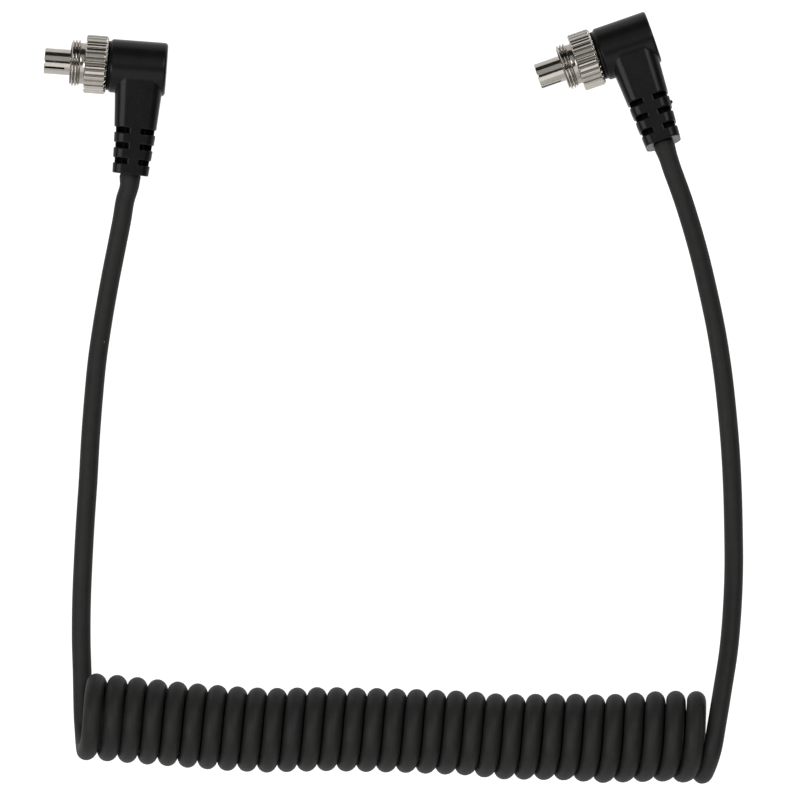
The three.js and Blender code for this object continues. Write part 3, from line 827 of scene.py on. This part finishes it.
def overmould_pvc():
    """Near-black satin PVC from a spark-eroded mould, with painted shade in the slots, on the end face
    and on the land, and a mottled painted reflection on the corners of one plug's slanted end.
    """
    shader = Shader("overmould_pvc")
    at = shader.attribute("local")
    painted_shade_and_reflection = shader.add("ShaderNodeSeparateXYZ", {"Vector": shader.attribute("painted_shade_and_reflection")})
    painted_shade, end = painted_shade_and_reflection.outputs["X"], painted_shade_and_reflection.outputs["Y"]
    blotches = shader.noise(at, 500, 3)
    grain = shader.noise(at, 7000, 3, 0.6)
    base = shader.mix(shader.spread(blotches, 0, 1), (0.0055, 0.0055, 0.0053), (0.008, 0.0079, 0.0077))
    # painted shade: near black deep in the slots, on the end face and on the land
    base = shader.mix(painted_shade, base, (0.002, 0.002, 0.002))
    # painted reflection: light grey, mottled by noise, on the corners of plug b's slanted end
    end_reflection_mottle = shader.spread(shader.noise(at, 1500, 3, 0.7), 0.15, 1, 0.42, 0.58)
    base = shader.mix(shader.math("MULTIPLY", end, end_reflection_mottle), base, (0.16, 0.16, 0.155))
    dust = shader.specks(at, 380, 0.04, 0.12)
    shader.link(shader.mix(dust, base, (0.16, 0.155, 0.14)), "Base Color")
    # the painted shade also takes the highlights away, by lowering the specular level
    shader.link(shader.spread(painted_shade, 0.15, 0.02, 0, 1), "Specular IOR Level")
    shader.link(shader.spread(grain, 0.24, 0.32), "Roughness")
    shader.bump((grain, 0.3, 0.000012))
    return shader.material


def nickel_plate():
    """Bright warm nickel over turned brass: fine turning lines, painted shade in the roots and the bore,
    and rougher roots.
    """
    shader = Shader("nickel_plate", Metallic=1.0)
    turned = shader.add("ShaderNodeSeparateXYZ", {"Vector": shader.attribute("turned")})
    along, painted_light_and_polish = turned.outputs["X"], turned.outputs["Y"]
    line_inputs = {"W": along, "Scale": 26000, "Detail": 2.0}
    lines = shader.add("ShaderNodeTexNoise", line_inputs, noise_dimensions="1D").outputs["Fac"]
    clouds = shader.noise(shader.place(), 900, 3)
    worn = shader.mix(shader.spread(clouds, 0, 1), (0.46, 0.432, 0.39), (0.51, 0.482, 0.44))
    # painted shade: darker nickel in the roots and grooves, and near black in the sleeve's bore
    metal = shader.mix(shader.spread(painted_light_and_polish, 0.75, 0, 0, 0.8), worn, (0.28, 0.255, 0.22))
    metal = shader.mix(shader.spread(painted_light_and_polish, 1, 0, -1, 0), metal, (0.03, 0.025, 0.02))
    shader.link(metal, "Base Color")
    smooth = shader.spread(clouds, 0.09, 0.15)
    rough = shader.math("ADD", smooth, shader.spread(painted_light_and_polish, 0.12, 0, 0, 0.8))
    shader.link(rough, "Roughness")
    shader.bump((lines, 0.12, 0.000004))
    return shader.material


def plain_metal(name, light, dark, rough):
    shader = Shader(name, Metallic=1.0)
    clouds = shader.noise(shader.place(), 1200, 3)
    shader.link(shader.mix(shader.spread(clouds, 0, 1), light, dark), "Base Color")
    shader.link(shader.spread(clouds, rough, rough + 0.12), "Roughness")
    shader.bump((shader.noise(shader.place(), 12000, 2), 0.1, 0.000005))
    return shader.material


def plain_plastic(name, light, dark, rough):
    shader = Shader(name)
    clouds = shader.noise(shader.place(), 900, 3)
    shader.link(shader.mix(shader.spread(clouds, 0, 1), light, dark), "Base Color")
    shader.link(shader.spread(clouds, rough, rough + 0.1), "Roughness")
    shader.bump((shader.noise(shader.place(), 9000, 2), 0.2, 0.000008))
    return shader.material


def dress(obj, material):
    obj.data.materials.clear()
    obj.data.materials.append(material)


# ---- the pieces ----
JACKET = cord_jacket()
PVC = overmould_pvc()
NICKEL = nickel_plate()
INSIDE = {
    "centre_pin": plain_metal("gilt_brass", (0.83, 0.6, 0.26), (0.74, 0.5, 0.2), 0.16),
    "insulator": plain_plastic("insulator_plastic", (0.82, 0.8, 0.75), (0.74, 0.71, 0.65), 0.42),
    "inner_mould": plain_plastic("inner_mould_plastic", (0.03, 0.03, 0.032), (0.02, 0.02, 0.022), 0.5),
    "core_wire": plain_plastic("core_insulation", (0.5, 0.035, 0.025), (0.4, 0.025, 0.02), 0.4),
    "shield_tail": plain_metal("shield_copper", (0.72, 0.36, 0.2), (0.55, 0.25, 0.13), 0.3),
}
dress(cord, JACKET)
for plug in ("a", "b"):
    dress(lock_ring(plug), NICKEL)
    dress(contact_sleeve(plug), NICKEL)
    dress(elbow(plug), PVC)
    for part, finish in INSIDE.items():
        dress(frame["nodes"][f"plug_{plug}_{part}"], finish)

# ---- floor and light ----
FLOOR_HALF = 8
LAMP_DISTANCE = 1.0
WORLD_LIGHT = 0.03
WORLD_SEEN = 1.05  # by the camera

corners = ((-1, -1), (1, -1), (1, 1), (-1, 1))
floor = piece("floor", [(x * FLOOR_HALF, y * FLOOR_HALF, 0) for x, y in corners], [(0, 1, 2, 3)])
floor_shader = Shader("floor", Base_Color=(0.35, 0.35, 0.35, 1), Roughness=0.9)
floor_shader.surface.inputs["Emission Color"].default_value = (1, 1, 1, 1)
to_camera = floor_shader.add("ShaderNodeLightPath").outputs["Is Camera Ray"]
floor_shader.link(floor_shader.spread(to_camera, 0.6, 0.95, 0, 1), "Emission Strength")
dress(floor, floor_shader.material)


def softbox(name, azimuth, elevation, width, height, energy):
    """A soft lamp aimed at the object. Azimuth 0 stands towards +X and 90 towards +Y."""
    data = bpy.data.lights.new(name, "AREA")
    data.shape = "RECTANGLE"
    data.size, data.size_y, data.energy = width, height, energy
    lamp = bpy.data.objects.new(name, data)
    a, e = math.radians(azimuth), math.radians(elevation)
    away = Vector((math.cos(a) * math.cos(e), math.sin(a) * math.cos(e), math.sin(e)))
    lamp.location = Vector(VIEW_CENTRE) + LAMP_DISTANCE * away
    lamp.rotation_euler = away.to_track_quat("Z", "Y").to_euler()
    lamp.visible_camera = False
    bpy.context.scene.collection.objects.link(lamp)


softbox("front_low", -90, 21.5, 1.3, 0.79, 2.4)
softbox("front_high", -90, 61, 1.3, 0.65, 3.4)
softbox("back_box", 90, 60, 1.0, 0.75, 1.2)
softbox("left_box", 188, 48.5, 0.4, 0.87, 4.6)
softbox("right_box", 48, 56, 0.35, 0.57, 3.0)

world = bpy.data.worlds.new("world")
world.use_nodes = True
sky = world.node_tree
background = sky.nodes["Background"]
background.inputs["Color"].default_value = (1, 1, 1, 1)
seen = sky.nodes.new("ShaderNodeLightPath")
level = sky.nodes.new("ShaderNodeMapRange")
level.inputs["To Min"].default_value = WORLD_LIGHT
level.inputs["To Max"].default_value = WORLD_SEEN
sky.links.new(seen.outputs["Is Camera Ray"], level.inputs["Value"])
sky.links.new(level.outputs["Result"], background.inputs["Strength"])
bpy.context.scene.world = world
bpy.context.scene.view_settings.view_transform = "Standard"
